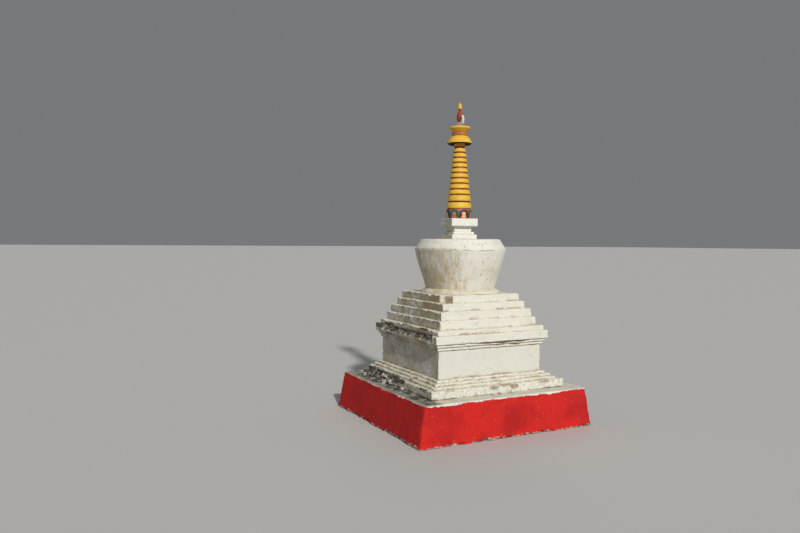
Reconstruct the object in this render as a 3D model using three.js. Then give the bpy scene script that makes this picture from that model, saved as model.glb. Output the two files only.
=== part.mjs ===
// A small Himalayan stupa: a red plinth, a square moulded throne, four terraces, a round bowl
// and a painted ringed spire with umbrella, moon and sun.
// Millimetres, +Z up, origin at the middle of the plinth's underside, sunlit face towards -Y.
import * as THREE from 'three';

// Plinth
const PLINTH_TOP_WIDTH = 1624;
const PLINTH_SPLAY_X = 55;
const PLINTH_SPLAY_Y = 20;
const PLINTH_WALL_HEIGHT = 316;
const PLINTH_CAP_HEIGHT = 24;

// Block, steps, throne and cornice: full widths and heights
const BLOCK_WIDTH = 1342;
const BLOCK_HEIGHT = 68;
const BASE_STEP_WIDTHS = [1250, 1180, 1112];
const BASE_STEP_HEIGHT = 20;
const THRONE_WIDTH = 1052;
const THRONE_HEIGHT = 238;
const MOULDING_WIDTHS = [1084, 1118];
const MOULDING_HEIGHT = 27;
const SLAB_WIDTH = 1152;
const SLAB_HEIGHT = 71;
const LIP_WIDTH = 1090;
const LIP_HEIGHT = 40;

// Terraces, lowest first
const TERRACE_WIDTHS = [996, 936, 860, 782];
const TERRACE_HEIGHTS = [76, 71, 65, 65];
const BROKEN_CORNER = 84;

// Bowl
const BOWL_FOOT_RADIUS = 368;
const BOWL_FOOT_HEIGHT = 41;
const BOWL_BOTTOM_RADIUS = 320;
const BOWL_MAX_RADIUS = 419;
const BOWL_TOP_RADIUS = 359;
const BOWL_HEIGHT = 445;
const BOWL_BELLY_HEIGHT = 350;
const BOWL_SIDES = 48;
const BOWL_SHIFT_X = 8;

// Square neck between bowl and spire, turned a little about the upright axis
const NECK_TURN = THREE.MathUtils.degToRad(-7);
const NECK_WIDTHS = [252, 214, 172];
const NECK_HEIGHTS = [40, 24, 40];
const NECK_BAND_WIDTH = 188;
const NECK_BAND_HEIGHT = 10;
const NECK_PLATE_WIDTH = 260;
const NECK_PLATE_HEIGHT = 71;

// Spire, with the ring pitches from the lowest ring upwards
const SPIRE_SHIFT_X = -10;
const LOTUS_BOTTOM_RADIUS = 112;
const LOTUS_BELLY_RADIUS = 118;
const LOTUS_TOP_RADIUS = 108;
const LOTUS_HEIGHT = 92;
const RING_PITCHES = [66, 64, 51, 51, 49, 49, 46, 46, 46, 46, 48];
const RING_GROOVE = 12;
const RING_FIRST_RADIUS = 116;
const RING_LAST_RADIUS = 57;
const GROOVE_DEPTH = 12;
const COLLAR_RADIUS = 50;
const COLLAR_HEIGHT = 56;
const SPIRE_SIDES = 32;

// Umbrella, moon, sun and tip
const BELL_RIM_RADIUS = 116;
const BELL_TOP_RADIUS = 68;
const BELL_HEIGHT = 78;
const BELL_HOLLOW_RADIUS = 98;
const BELL_HOLLOW_DEPTH = 34;
const TORUS_RADIUS = 72;
const TORUS_HEIGHT = 30;
const CUP_BOTTOM_RADIUS = 66;
const CUP_RIM_RADIUS = 97;
const CUP_HEIGHT = 52;
const MOON_RADIUS = 62;
const MOON_HOLLOW_RADIUS = 44;
const MOON_HOLLOW_RISE = 30;
const MOON_THICKNESS = 32;
const MOON_SEAT = 36;
const SUN_HALF_WIDTH = 27;
const SUN_HEIGHT = 104;
const TIP_RADIUS = 20;
const TIP_HEIGHT = 73;

// Clearance between a piece and the one that it encloses
const GAP = 0.3;

const WHITEWASH = { color: 0xe6e2d6, roughness: 0.92, metalness: 0 };
const RED_OXIDE = { color: 0xc8281e, roughness: 0.88, metalness: 0 };
const YELLOW_PAINT = { color: 0xe6b42e, roughness: 0.7, metalness: 0 };
const ORANGE_RED_PAINT = { color: 0xb5492c, roughness: 0.75, metalness: 0 };
const SALMON_PAINT = { color: 0xc05a4a, roughness: 0.75, metalness: 0 };

const stupa = new THREE.Group();

// The upright axis that the next pieces stand on; the bowl and the spire are set off centre.
let axisX = 0;

function addMesh(name, geometry, finish, z) {
  const mesh = new THREE.Mesh(geometry, new THREE.MeshStandardMaterial(finish));
  mesh.name = name;
  mesh.position.set(axisX, 0, z);
  stupa.add(mesh);
}

// A square course lying on height z, turned about the axis; returns the height of its top.
function addCourse(name, width, height, z, turn = 0) {
  const geometry = new THREE.BoxGeometry(width, width, height);
  geometry.translate(0, 0, height / 2);
  geometry.rotateZ(turn);
  addMesh(name, geometry, WHITEWASH, z);
  return z + height;
}

// A solid that is square at its top, with walls that splay outwards to the foot.
function splayedBlock(topWidth, splayX, splayY, height) {
  const geometry = new THREE.BoxGeometry(topWidth, topWidth, height);
  geometry.translate(0, 0, height / 2);
  const position = geometry.attributes.position;
  for (let i = 0; i < position.count; i += 1) {
    if (position.getZ(i) < height / 2) {
      position.setX(i, position.getX(i) + Math.sign(position.getX(i)) * splayX);
      position.setY(i, position.getY(i) + Math.sign(position.getY(i)) * splayY);
    }
  }
  return geometry;
}

// A flat course cut from an outline in plan.
function platform(points, height) {
  const outline = new THREE.Shape(points.map(([x, y]) => new THREE.Vector2(x, y)));
  return new THREE.ExtrudeGeometry(outline, { depth: height, bevelEnabled: false });
}

// A turned solid about the vertical axis from [radius, height] points.
function turned(profile, sides) {
  const points = profile.map(([radius, height]) => new THREE.Vector2(radius, height));
  const geometry = new THREE.LatheGeometry(points, sides);
  geometry.rotateX(Math.PI / 2);
  return geometry;
}

// Plinth: the red wall splays a little towards the ground, and a lime-washed cap covers its top.
let z = 0;
const plinthWall = splayedBlock(
  PLINTH_TOP_WIDTH,
  PLINTH_SPLAY_X,
  PLINTH_SPLAY_Y,
  PLINTH_WALL_HEIGHT,
);
addMesh('plinth_wall', plinthWall, RED_OXIDE, z);
z += PLINTH_WALL_HEIGHT;
z = addCourse('plinth_cap', PLINTH_TOP_WIDTH, PLINTH_CAP_HEIGHT, z);

// Base block: its far corner on the -X side is broken off.
const blockHalf = BLOCK_WIDTH / 2;
const breakLength = 0.62 * BLOCK_WIDTH;
const breakDepth = 0.045 * BLOCK_WIDTH;
const baseBlock = platform([
  [-blockHalf, -blockHalf],
  [blockHalf, -blockHalf],
  [blockHalf, blockHalf],
  [-blockHalf + breakDepth, blockHalf],
  [-blockHalf + breakDepth * 0.8, blockHalf - breakLength * 0.5],
  [-blockHalf + breakDepth, blockHalf - breakLength * 0.86],
  [-blockHalf, blockHalf - breakLength],
], BLOCK_HEIGHT);
addMesh('base_block', baseBlock, WHITEWASH, z);
z += BLOCK_HEIGHT;

BASE_STEP_WIDTHS.forEach((width, i) => {
  z = addCourse(`base_step_${i + 1}`, width, BASE_STEP_HEIGHT, z);
});
z = addCourse('throne_body', THRONE_WIDTH, THRONE_HEIGHT, z);
z = addCourse('cornice_moulding_lower', MOULDING_WIDTHS[0], MOULDING_HEIGHT, z);
z = addCourse('cornice_moulding_upper', MOULDING_WIDTHS[1], MOULDING_HEIGHT, z);

// Cornice slab: the face towards -X has crumbled back, short of its two ends.
const slabHalf = SLAB_WIDTH / 2;
const crumbleDepth = 0.02 * SLAB_WIDTH;
const cornerLength = 0.05 * SLAB_WIDTH;
const corniceSlab = platform([
  [-slabHalf, -slabHalf],
  [slabHalf, -slabHalf],
  [slabHalf, slabHalf],
  [-slabHalf, slabHalf],
  [-slabHalf, slabHalf - cornerLength],
  [-slabHalf + crumbleDepth, slabHalf - 2 * cornerLength],
  [-slabHalf + crumbleDepth * 0.7, 0],
  [-slabHalf + crumbleDepth, -slabHalf + 2 * cornerLength],
  [-slabHalf, -slabHalf + cornerLength],
], SLAB_HEIGHT);
addMesh('cornice_slab', corniceSlab, WHITEWASH, z);
z += SLAB_HEIGHT;
z = addCourse('cornice_lip', LIP_WIDTH, LIP_HEIGHT, z);

const topTerrace = TERRACE_WIDTHS.length - 1;
for (let i = 0; i < topTerrace; i += 1) {
  z = addCourse(`terrace_step_${i + 1}`, TERRACE_WIDTHS[i], TERRACE_HEIGHTS[i], z);
}

// The top terrace has lost its near corner on the -X side.
const terraceHalf = TERRACE_WIDTHS[topTerrace] / 2;
const terraceStep4 = platform([
  [-terraceHalf + BROKEN_CORNER, -terraceHalf],
  [terraceHalf, -terraceHalf],
  [terraceHalf, terraceHalf],
  [-terraceHalf, terraceHalf],
  [-terraceHalf, -terraceHalf + BROKEN_CORNER],
  [-terraceHalf + BROKEN_CORNER * 0.45, -terraceHalf + BROKEN_CORNER * 0.45],
], TERRACE_HEIGHTS[topTerrace]);
addMesh('terrace_step_4', terraceStep4, WHITEWASH, z);
z += TERRACE_HEIGHTS[topTerrace];

// Bowl on its low round foot: it flares upwards to a chamfered shoulder and a flat top.
axisX = BOWL_SHIFT_X;
const footSlope = BOWL_FOOT_RADIUS - BOWL_BOTTOM_RADIUS;
addMesh('bowl_foot', turned([
  [0, 0],
  [BOWL_FOOT_RADIUS, 0],
  [BOWL_FOOT_RADIUS, BOWL_FOOT_HEIGHT * 0.3],
  [BOWL_FOOT_RADIUS - footSlope * 0.3, BOWL_FOOT_HEIGHT * 0.7],
  [BOWL_FOOT_RADIUS - footSlope * 0.8, BOWL_FOOT_HEIGHT],
  [0, BOWL_FOOT_HEIGHT],
], BOWL_SIDES), WHITEWASH, z);
z += BOWL_FOOT_HEIGHT;

const bowlFlare = BOWL_MAX_RADIUS - BOWL_BOTTOM_RADIUS;
addMesh('bowl', turned([
  [0, 0],
  [BOWL_BOTTOM_RADIUS, 0],
  [BOWL_BOTTOM_RADIUS + bowlFlare * 0.15, BOWL_BELLY_HEIGHT * 0.17],
  [BOWL_BOTTOM_RADIUS + bowlFlare * 0.38, BOWL_BELLY_HEIGHT * 0.36],
  [BOWL_BOTTOM_RADIUS + bowlFlare * 0.61, BOWL_BELLY_HEIGHT * 0.55],
  [BOWL_BOTTOM_RADIUS + bowlFlare * 0.82, BOWL_BELLY_HEIGHT * 0.75],
  [BOWL_MAX_RADIUS - 3, BOWL_BELLY_HEIGHT * 0.94],
  [BOWL_MAX_RADIUS, BOWL_BELLY_HEIGHT],
  [BOWL_MAX_RADIUS - 3, BOWL_BELLY_HEIGHT * 1.04],
  [BOWL_TOP_RADIUS + 4, BOWL_HEIGHT - 4],
  [BOWL_TOP_RADIUS, BOWL_HEIGHT],
  [0, BOWL_HEIGHT],
], BOWL_SIDES), WHITEWASH, z);
z += BOWL_HEIGHT;

axisX = SPIRE_SHIFT_X;
NECK_WIDTHS.forEach((width, i) => {
  z = addCourse(`neck_step_${i + 1}`, width, NECK_HEIGHTS[i], z, NECK_TURN);
});
z = addCourse('neck_band', NECK_BAND_WIDTH, NECK_BAND_HEIGHT, z, NECK_TURN);
z = addCourse('neck_plate', NECK_PLATE_WIDTH, NECK_PLATE_HEIGHT, z, NECK_TURN);

// Lotus drum under the rings
addMesh('lotus_base', turned([
  [0, 0],
  [LOTUS_BOTTOM_RADIUS, 0],
  [LOTUS_BELLY_RADIUS, LOTUS_HEIGHT * 0.4],
  [LOTUS_BELLY_RADIUS - 3, LOTUS_HEIGHT * 0.75],
  [LOTUS_TOP_RADIUS, LOTUS_HEIGHT],
  [0, LOTUS_HEIGHT],
], SPIRE_SIDES), SALMON_PAINT, z);
z += LOTUS_HEIGHT;

// Tapering core that carries the rings. Its side is one straight cone.
const spireHeight = RING_PITCHES.reduce((sum, pitch) => sum + pitch, 0);
const coreBottomRadius = RING_FIRST_RADIUS - GROOVE_DEPTH;
const coreTopRadius = RING_LAST_RADIUS - GROOVE_DEPTH;
const coreBottom = z;

function coreRadius(height) {
  return THREE.MathUtils.lerp(coreBottomRadius, coreTopRadius, height / spireHeight);
}

addMesh('spire_core', turned([
  [0, 0],
  [coreBottomRadius, 0],
  [coreTopRadius, spireHeight],
  [0, spireHeight],
], SPIRE_SIDES), ORANGE_RED_PAINT, z);

// One rounded ring around the core, from height low to height high above the core's foot.
function ring(low, high) {
  const middle = (low + high) / 2;
  const bulge = coreRadius(middle) + GROOVE_DEPTH;
  const thickness = high - low;
  return turned([
    [coreRadius(low) + GAP, low],
    [bulge - 3, low],
    [bulge, low + thickness * 0.3],
    [bulge - 2, low + thickness * 0.65],
    [bulge - 8, high],
    [coreRadius(high) + GAP, high],
    [coreRadius(low) + GAP, low],
  ], SPIRE_SIDES);
}

let ringLow = 0;
RING_PITCHES.forEach((pitch, i) => {
  const number = String(i + 1).padStart(2, '0');
  const ringHigh = ringLow + pitch - RING_GROOVE;
  addMesh(`spire_ring_${number}`, ring(ringLow, ringHigh), YELLOW_PAINT, coreBottom);
  ringLow += pitch;
});
z += spireHeight;

// Collar that runs up into the umbrella's hollow underside
addMesh('spire_collar', turned([
  [0, 0],
  [COLLAR_RADIUS, 0],
  [COLLAR_RADIUS, COLLAR_HEIGHT],
  [0, COLLAR_HEIGHT],
], SPIRE_SIDES), ORANGE_RED_PAINT, z);
z += COLLAR_HEIGHT;

// Umbrella: a bell with a hollow underside, a round collar and a flaring cup.
const bellLip = 8;
const bellCeiling = BELL_HOLLOW_DEPTH;
z -= bellCeiling;
addMesh('umbrella_bell', turned([
  [0, bellCeiling],
  [BELL_TOP_RADIUS, bellCeiling],
  [BELL_HOLLOW_RADIUS, bellLip],
  [BELL_HOLLOW_RADIUS + 4, 0],
  [BELL_RIM_RADIUS - 4, 0],
  [BELL_RIM_RADIUS, bellLip],
  [BELL_RIM_RADIUS * 0.93, BELL_HEIGHT * 0.35],
  [BELL_RIM_RADIUS * 0.77, BELL_HEIGHT * 0.72],
  [BELL_TOP_RADIUS, BELL_HEIGHT],
  [0, BELL_HEIGHT],
], SPIRE_SIDES), YELLOW_PAINT, z);
z += BELL_HEIGHT;

addMesh('umbrella_collar', turned([
  [0, 0],
  [TORUS_RADIUS - 6, 0],
  [TORUS_RADIUS, TORUS_HEIGHT * 0.3],
  [TORUS_RADIUS, TORUS_HEIGHT * 0.7],
  [TORUS_RADIUS - 6, TORUS_HEIGHT],
  [0, TORUS_HEIGHT],
], SPIRE_SIDES), SALMON_PAINT, z);
z += TORUS_HEIGHT;

addMesh('umbrella_cup', turned([
  [0, 0],
  [CUP_BOTTOM_RADIUS, 0],
  [CUP_RIM_RADIUS - 10, CUP_HEIGHT * 0.5],
  [CUP_RIM_RADIUS, CUP_HEIGHT * 0.72],
  [CUP_RIM_RADIUS - 6, CUP_HEIGHT],
  [0, CUP_HEIGHT],
], SPIRE_SIDES), YELLOW_PAINT, z);
z += CUP_HEIGHT;

// Crescent moon standing on a flat seat, its broad face towards -X
const moonCentre = Math.sqrt(MOON_RADIUS ** 2 - (MOON_SEAT / 2) ** 2);
const hollowCentre = moonCentre + MOON_HOLLOW_RISE;
const outerStart = Math.atan2(-moonCentre, MOON_SEAT / 2);
const hornHeight = (MOON_RADIUS ** 2 - MOON_HOLLOW_RADIUS ** 2 + MOON_HOLLOW_RISE ** 2)
  / (2 * MOON_HOLLOW_RISE);
const outerHorn = Math.asin(hornHeight / MOON_RADIUS);
const innerHorn = Math.asin((hornHeight - MOON_HOLLOW_RISE) / MOON_HOLLOW_RADIUS);
const moonOutline = new THREE.Shape();
moonOutline.moveTo(-MOON_SEAT / 2, 0);
moonOutline.lineTo(MOON_SEAT / 2, 0);
moonOutline.absarc(0, moonCentre, MOON_RADIUS, outerStart, outerHorn, false);
moonOutline.absarc(0, hollowCentre, MOON_HOLLOW_RADIUS, innerHorn, -Math.PI - innerHorn, true);
moonOutline.absarc(0, moonCentre, MOON_RADIUS, Math.PI - outerHorn, Math.PI - outerStart, false);
const moon = new THREE.ExtrudeGeometry(moonOutline, {
  depth: MOON_THICKNESS,
  bevelEnabled: false,
  curveSegments: 32,
});
moon.rotateX(Math.PI / 2);
moon.translate(0, MOON_THICKNESS / 2, 0);
moon.rotateZ(Math.PI / 2);
addMesh('crescent_moon', moon, WHITEWASH, z);

// Sun: an upright oval in the moon's hollow, with the tip on its flattened top
const sunSteps = 10;
const sunEndAngle = 0.32;
const sunSeatRadius = SUN_HALF_WIDTH * Math.sin(sunEndAngle);
const sunSeat = hollowCentre - Math.sqrt(MOON_HOLLOW_RADIUS ** 2 - sunSeatRadius ** 2) + GAP;
const sunProfile = [[0, 0]];
for (let i = 0; i <= sunSteps; i += 1) {
  const angle = THREE.MathUtils.lerp(sunEndAngle, Math.PI - sunEndAngle, i / sunSteps);
  const height = SUN_HEIGHT * (0.5 - 0.5 * Math.cos(angle) / Math.cos(sunEndAngle));
  sunProfile.push([SUN_HALF_WIDTH * Math.sin(angle), height]);
}
sunProfile.push([0, SUN_HEIGHT]);
addMesh('sun_oval', turned(sunProfile, 20), ORANGE_RED_PAINT, z + sunSeat);
z += sunSeat + SUN_HEIGHT;

addMesh('finial_tip', turned([
  [0, 0],
  [TIP_RADIUS * 0.45, 0],
  [TIP_RADIUS * 0.9, TIP_HEIGHT * 0.16],
  [TIP_RADIUS, TIP_HEIGHT * 0.34],
  [TIP_RADIUS * 0.8, TIP_HEIGHT * 0.62],
  [TIP_RADIUS * 0.42, TIP_HEIGHT * 0.86],
  [0, TIP_HEIGHT],
], 20), YELLOW_PAINT, z);

export default stupa;
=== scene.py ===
# Whitewashed stupa on a red plinth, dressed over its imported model. Metres, +Z up.
import math

import bpy
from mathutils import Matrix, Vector


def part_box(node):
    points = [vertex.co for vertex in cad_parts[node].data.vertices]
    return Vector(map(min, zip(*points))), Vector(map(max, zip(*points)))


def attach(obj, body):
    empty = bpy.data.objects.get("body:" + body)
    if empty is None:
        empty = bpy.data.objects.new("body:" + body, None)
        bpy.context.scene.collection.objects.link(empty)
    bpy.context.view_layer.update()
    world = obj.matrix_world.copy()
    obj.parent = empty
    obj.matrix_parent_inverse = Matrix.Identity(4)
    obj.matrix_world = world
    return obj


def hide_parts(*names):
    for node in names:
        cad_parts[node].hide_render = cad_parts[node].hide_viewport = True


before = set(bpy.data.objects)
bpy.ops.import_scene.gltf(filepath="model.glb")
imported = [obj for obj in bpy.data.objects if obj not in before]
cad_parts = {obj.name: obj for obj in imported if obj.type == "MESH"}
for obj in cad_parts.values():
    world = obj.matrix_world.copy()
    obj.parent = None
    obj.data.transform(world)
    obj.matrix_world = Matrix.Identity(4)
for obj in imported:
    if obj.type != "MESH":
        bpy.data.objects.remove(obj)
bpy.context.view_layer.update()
print("frame loaded:", len(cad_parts), "nodes")


# Selecting, placing and finishing

near = 0.001  # how close to a height or a side counts as being on it


def clearSelection():
    bpy.ops.object.select_all(action="DESELECT")


def makeActive(piece):
    clearSelection()
    piece.select_set(True)
    bpy.context.view_layer.objects.active = piece


def applyPlace(piece):
    makeActive(piece)
    bpy.ops.object.transform_apply(location=True, rotation=True, scale=True)


def applyModifier(piece, modifier):
    makeActive(piece)
    bpy.ops.object.modifier_apply(modifier=modifier.name)


# goes into edit mode with only the wanted faces, edges or points selected
def pick(piece, mode, kind, wanted):
    makeActive(piece)
    bpy.ops.object.mode_set(mode="EDIT")
    bpy.ops.mesh.select_mode(type=mode)
    bpy.ops.mesh.select_all(action="DESELECT")
    bpy.ops.object.mode_set(mode="OBJECT")
    for part in getattr(piece.data, kind):
        part.select = wanted(part)
    bpy.ops.object.mode_set(mode="EDIT")


def pickFaces(piece, wanted):
    pick(piece, "FACE", "polygons", wanted)


def pickEdges(piece, wanted):
    pick(piece, "EDGE", "edges", wanted)


def pickPoints(piece, wanted):
    pick(piece, "VERT", "vertices", lambda point: wanted(point.co))


def leaveEdit():
    bpy.ops.object.mode_set(mode="OBJECT")


def addCube(name, low, high):
    clearSelection()
    bpy.ops.mesh.primitive_cube_add(size=1, location=(low + high) / 2, scale=high - low)
    piece = bpy.context.active_object
    piece.name = name
    applyPlace(piece)
    return piece


def joinPieces(name, parts):
    clearSelection()
    for part in parts:
        part.select_set(True)
    bpy.context.view_layer.objects.active = parts[0]
    bpy.ops.object.join()
    parts[0].name = name
    return parts[0]


def paintPiece(piece, material):
    piece.data.materials.clear()
    piece.data.materials.append(material)
    makeActive(piece)
    bpy.ops.object.shade_smooth()
    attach(piece, "root")
    print("built", piece.name, len(piece.data.polygons), "faces")


leastLeft = 0.8  # share of a node's size that a finished piece still has


def finishPiece(piece, material, nodes):
    # a boolean that fails leaves a scrap, which must not pass unseen
    low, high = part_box(nodes[0])
    if sum(piece.dimensions) < sum(high - low) * leastLeft:
        raise RuntimeError(piece.name + " has lost a large part")
    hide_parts(*nodes)
    paintPiece(piece, material)


# Modifiers that give hand-laid plaster its shape

def bevelEdges(piece, width, segments=2):
    bevel = piece.modifiers.new("bevel", "BEVEL")
    bevel.width = width
    bevel.segments = segments
    bevel.limit_method = "ANGLE"
    applyModifier(piece, bevel)


def remesh(piece, voxel):
    remade = piece.modifiers.new("remesh", "REMESH")
    remade.mode = "VOXEL"
    remade.voxel_size = voxel
    remade.use_smooth_shade = True
    applyModifier(piece, remade)


def thinMesh(piece, share):
    thin = piece.modifiers.new("thin", "DECIMATE")
    thin.ratio = share
    applyModifier(piece, thin)


def cloudTexture(name, size, depth, brightness=1.0, contrast=1.0):
    texture = bpy.data.textures.new(name, "CLOUDS")
    texture.noise_scale = size
    texture.noise_depth = depth
    texture.intensity = brightness
    texture.contrast = contrast
    return texture


# the bites are dark nearly all over, with sharp bright spots that push a surface in
plasterWaves = cloudTexture("plasterWaves", 0.30, 1)
plasterLumps = cloudTexture("plasterLumps", 0.045, 3)
edgeBites = cloudTexture("edgeBites", 0.055, 3, brightness=0.0, contrast=5.0)
weatherBites = cloudTexture("weatherBites", 0.075, 3, brightness=0.35, contrast=4.0)
rimBites = cloudTexture("rimBites", 0.13, 5, brightness=0.35, contrast=2.6)
rubble = cloudTexture("rubble", 0.03, 4, contrast=2.4)


def displace(piece, texture, strength, midLevel=0.5, group=""):
    push = piece.modifiers.new("displace", "DISPLACE")
    push.texture = texture
    push.texture_coords = "LOCAL"
    push.strength = strength
    push.mid_level = midLevel
    push.vertex_group = group
    applyModifier(piece, push)


def weighPoints(piece, groupName, weightOf):
    group = piece.vertex_groups.new(name=groupName)
    for point in piece.data.vertices:
        weight = weightOf(point.co)
        if weight > 0.0:
            group.add([point.index], weight, "REPLACE")


def keepInside(piece, low, high):
    for point in piece.data.vertices:
        point.co.x = min(max(point.co.x, low.x), high.x)
        point.co.y = min(max(point.co.y, low.y), high.y)
        point.co.z = min(max(point.co.z, low.z), high.z)


def storeMark(piece, name, valueOf):
    marks = piece.data.attributes.new(name, "FLOAT", "POINT")
    for point in piece.data.vertices:
        marks.data[point.index].value = min(max(valueOf(point.co), 0.0), 1.0)


def subtract(piece, cutter):
    bite = piece.modifiers.new("bite", "BOOLEAN")
    bite.operation = "DIFFERENCE"
    bite.object = cutter
    bite.solver = "EXACT"
    applyModifier(piece, bite)
    bpy.data.objects.remove(cutter)


cutSettings = {
    "voxelShare": 0.35,  # of the cut's smallest half size
    "finestVoxel": 0.003,
    "coarsestVoxel": 0.008,
    "markShare": 0.25,  # of its raggedness, how far a cut marks the surface round it
    "markFade": 0.005,
    "middle": 0.05,  # as a share of the cut, so near its centre that all is marked
}


# a rough lump bitten out of a piece
def cutAway(piece, centre, size, ragged):
    s = cutSettings
    clearSelection()
    bpy.ops.mesh.primitive_ico_sphere_add(subdivisions=4, radius=1, location=centre)
    lump = bpy.context.active_object
    lump.scale = size
    applyPlace(lump)
    displace(lump, rubble, ragged)
    remesh(lump, min(max(min(size) * s["voxelShare"], s["finestVoxel"]), s["coarsestVoxel"]))
    subtract(piece, lump)


# Shader nodes

def addNode(graph, kind, inputs=None, **settings):
    made = graph.nodes.new(kind)
    for key, value in settings.items():
        setattr(made, key, value)
    for key, value in (inputs or {}).items():
        if isinstance(value, bpy.types.NodeSocket):
            graph.links.new(value, made.inputs[key])
        else:
            made.inputs[key].default_value = value
    return made


def objectPlace(graph, stretch=(1, 1, 1)):
    place = addNode(graph, "ShaderNodeTexCoord").outputs["Object"]
    if stretch == (1, 1, 1):
        return place
    return addNode(graph, "ShaderNodeMapping", {"Vector": place, "Scale": stretch}).outputs[0]


def noiseOn(graph, place, scale, detail=4.0, roughness=0.55):
    inputs = {"Vector": place, "Scale": scale, "Detail": detail, "Roughness": roughness}
    return addNode(graph, "ShaderNodeTexNoise", inputs).outputs[0]


def between(graph, value, low, high, toLow=0.0, toHigh=1.0):
    inputs = {0: value, 1: low, 2: high, 3: toLow, 4: toHigh}
    return addNode(graph, "ShaderNodeMapRange", inputs, interpolation_type="SMOOTHSTEP").outputs[0]


def maths(graph, operation, first, second=0.0):
    return addNode(graph, "ShaderNodeMath", {0: first, 1: second}, operation=operation).outputs[0]


def times(graph, *values):
    product = values[0]
    for value in values[1:]:
        product = maths(graph, "MULTIPLY", product, value)
    return product


def mixColours(graph, factor, first, second):
    return addNode(graph, "ShaderNodeMix", {0: factor, 6: first, 7: second}, data_type="RGBA").outputs[2]


# lays a stain over a colour, as far as all the masks let it through
def stain(graph, colour, over, *masks):
    return mixColours(graph, times(graph, *masks), colour, over)


def markOn(graph, name):
    return addNode(graph, "ShaderNodeAttribute", attribute_name=name).outputs["Fac"]


def axesOf(graph, vector):
    return addNode(graph, "ShaderNodeSeparateXYZ", {0: vector}).outputs


def facing(graph):
    return axesOf(graph, addNode(graph, "ShaderNodeNewGeometry").outputs["Normal"])


def rgb(red, green, blue):
    return (red, green, blue, 1.0)


def newMaterial(name, roughness, specular):
    material = bpy.data.materials.new(name)
    material.use_nodes = True
    graph = material.node_tree
    shader = graph.nodes["Principled BSDF"]
    shader.inputs["Roughness"].default_value = roughness
    shader.inputs["Specular IOR Level"].default_value = specular
    return material, graph, shader


def linkShader(graph, shader, colour, height, grain):
    bump = addNode(graph, "ShaderNodeBump", {"Height": height, "Distance": grain, "Strength": 1.0})
    graph.links.new(colour, shader.inputs["Base Color"])
    graph.links.new(bump.outputs[0], shader.inputs["Normal"])


# a pair is the stretch of a noise, a slope or a place over which a stain fades in; two more values
# say how weak and how strong it is there
limewashSettings = {
    "fresh": rgb(0.757, 0.747, 0.678),
    "dull": rgb(0.68, 0.655, 0.555),
    "dullPatches": (0.50, 0.74),
    "streak": rgb(0.46, 0.39, 0.27),
    "streakLines": (0.54, 0.80),
    "streakPlaces": (0.42, 0.64),
    "streakShare": 0.25,
    "ledge": rgb(0.74, 0.68, 0.52),
    "ledgeSlope": (0.60, 0.95),
    "ledgeShare": 0.70,
    "ledgeDirt": (0.50, 0.70),
    "ledgeDirtShare": 0.55,
    # the side towards -X: weathering stains that also serve as painted shade
    "shadedSideTurn": (-0.35, -0.85),
    "sideSlope": (0.60, 0.30),
    "weatherAndShadeShare": 0.90,
    "grimeAndShade": rgb(0.25, 0.235, 0.185),
    "grimeAndShadePatches": (0.30, 0.70),
    "tan": rgb(0.385, 0.315, 0.195),
    "tanPatches": (0.40, 0.64),
    "tanShare": 1.30,
    "shade": rgb(0.165, 0.150, 0.120),
    "shadeSpecks": (0.52, 0.62),
    "shadeShare": 0.65,
    "gritSpecks": (0.50, 0.60),
    "gritShare": 0.12,
    "seam": rgb(0.42, 0.33, 0.205),
    "seamPlaces": (0.50, 0.60),
    "pit": rgb(0.16, 0.125, 0.09),
    "pitScale": 48.0,
    "pitEdge": (0.17, 0.09),
    "pitClusters": (0.52, 0.60),
    "pitShare": 0.80,
    "pitDepth": 1.2,
    "mud": rgb(0.30, 0.215, 0.13),
    "rubble": rgb(0.50, 0.46, 0.38),
    "earth": rgb(0.070, 0.058, 0.043),
    "stone": rgb(0.34, 0.325, 0.29),
    "rubbleLumps": (0.46, 0.66),
    "deepBreaks": (0.55, 0.80),
    "brokenGain": 1.8,
    "brushDepth": 0.5,
    "grain": 0.003,
    "roughness": 0.93,
    "shine": 0.2,
}
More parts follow.
